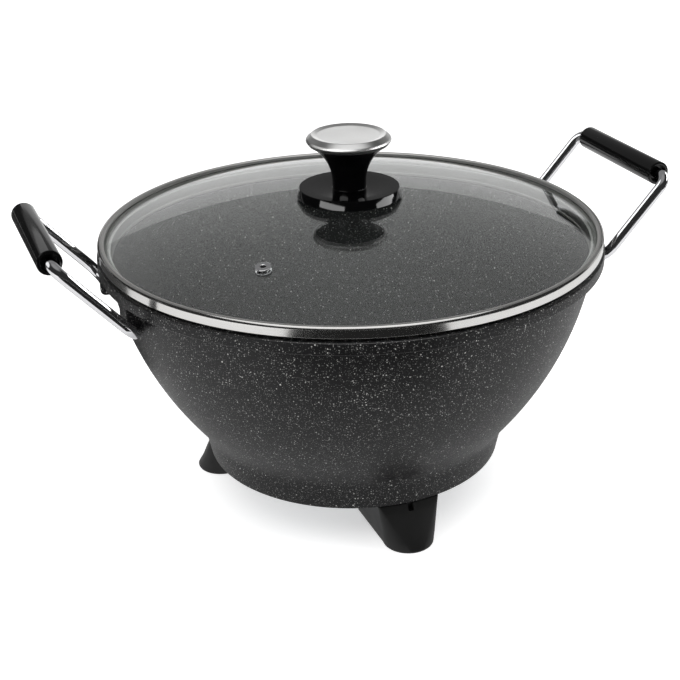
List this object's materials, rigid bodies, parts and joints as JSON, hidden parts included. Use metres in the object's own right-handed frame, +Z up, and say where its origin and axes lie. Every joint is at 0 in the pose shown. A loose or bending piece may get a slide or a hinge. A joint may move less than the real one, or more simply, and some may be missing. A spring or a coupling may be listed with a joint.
{
  "type": "electric wok",
  "caption": "Deep electric wok: coated cast bowl on a base ring with moulded feet, wire handles with sleeve grips, and a lift-off glass lid with a steel rim and a capped knob.",
  "frame": {"origin": "on the table, on the axis of the bowl", "axes": "+X towards the right-hand handle, -Y towards the front foot, +Z up along the axis of the bowl; the inlet is at the back, on +Y"},
  "size_m": [0.4618, 0.362, 0.2722],
  "materials": {
    "granite_coating": "die-cast aluminium with a speckled non-stick coating, slightly textured",
    "moulded_black": "black phenolic moulding, fine matt grain",
    "glossy_black": "black phenolic, polished",
    "satin_black": "black phenolic sleeve, satin",
    "chrome": "bright chrome plate",
    "polished_steel": "stainless strip, rolled and polished",
    "satin_steel": "stainless, satin-brushed",
    "zinc_plate": "zinc-plated steel",
    "glass": "clear tempered glass",
    "silicone": "translucent grey silicone",
    "ceramic": "unglazed white ceramic",
    "brass": "plain brass",
    "element_sheath": "heat-darkened steel sheath"
  },
  "bodies": {
    "wok": {"wok_pan": "granite_coating", "foot_front": "moulded_black", "foot_left": "moulded_black", "foot_right": "moulded_black", "foot_screw_1": "zinc_plate", "foot_screw_2": "zinc_plate", "foot_screw_3": "zinc_plate", "base_cover": "zinc_plate", "base_cover_screw_1": "zinc_plate", "base_cover_screw_2": "zinc_plate", "base_cover_screw_3": "zinc_plate", "heating_element": "element_sheath", "inlet_housing": "moulded_black", "inlet_screw_1": "zinc_plate", "inlet_screw_2": "zinc_plate", "live_pin": "chrome", "neutral_pin": "chrome", "live_insulator": "ceramic", "neutral_insulator": "ceramic", "probe_socket": "brass", "earth_contact": "brass", "left_handle_wire": "chrome", "right_handle_wire": "chrome"},
    "lid": {"lid_rim": "polished_steel", "lid_glass": "glass", "rim_liner": "silicone", "vent_eyelet": "polished_steel", "knob_body": "glossy_black", "knob_cap": "satin_steel", "knob_gasket": "silicone", "knob_washer": "zinc_plate", "knob_screw": "zinc_plate"},
    "left_grip": {"left_grip": "satin_black"},
    "right_grip": {"right_grip": "satin_black"}
  },
  "joints": [
    {"name": "lid_lift", "type": "slide", "parent": "wok", "child": "lid", "axis": [0, 0, 1], "range_m": [0, 0.12]},
    {"name": "left_grip_spin", "type": "hinge", "parent": "wok", "child": "left_grip", "pos_m": [-0.2224, 0, 0.2281], "axis": [0, 1, 0], "continuous": true},
    {"name": "right_grip_spin", "type": "hinge", "parent": "wok", "child": "right_grip", "pos_m": [0.2224, 0, 0.2281], "axis": [0, 1, 0], "continuous": true}
  ]
}
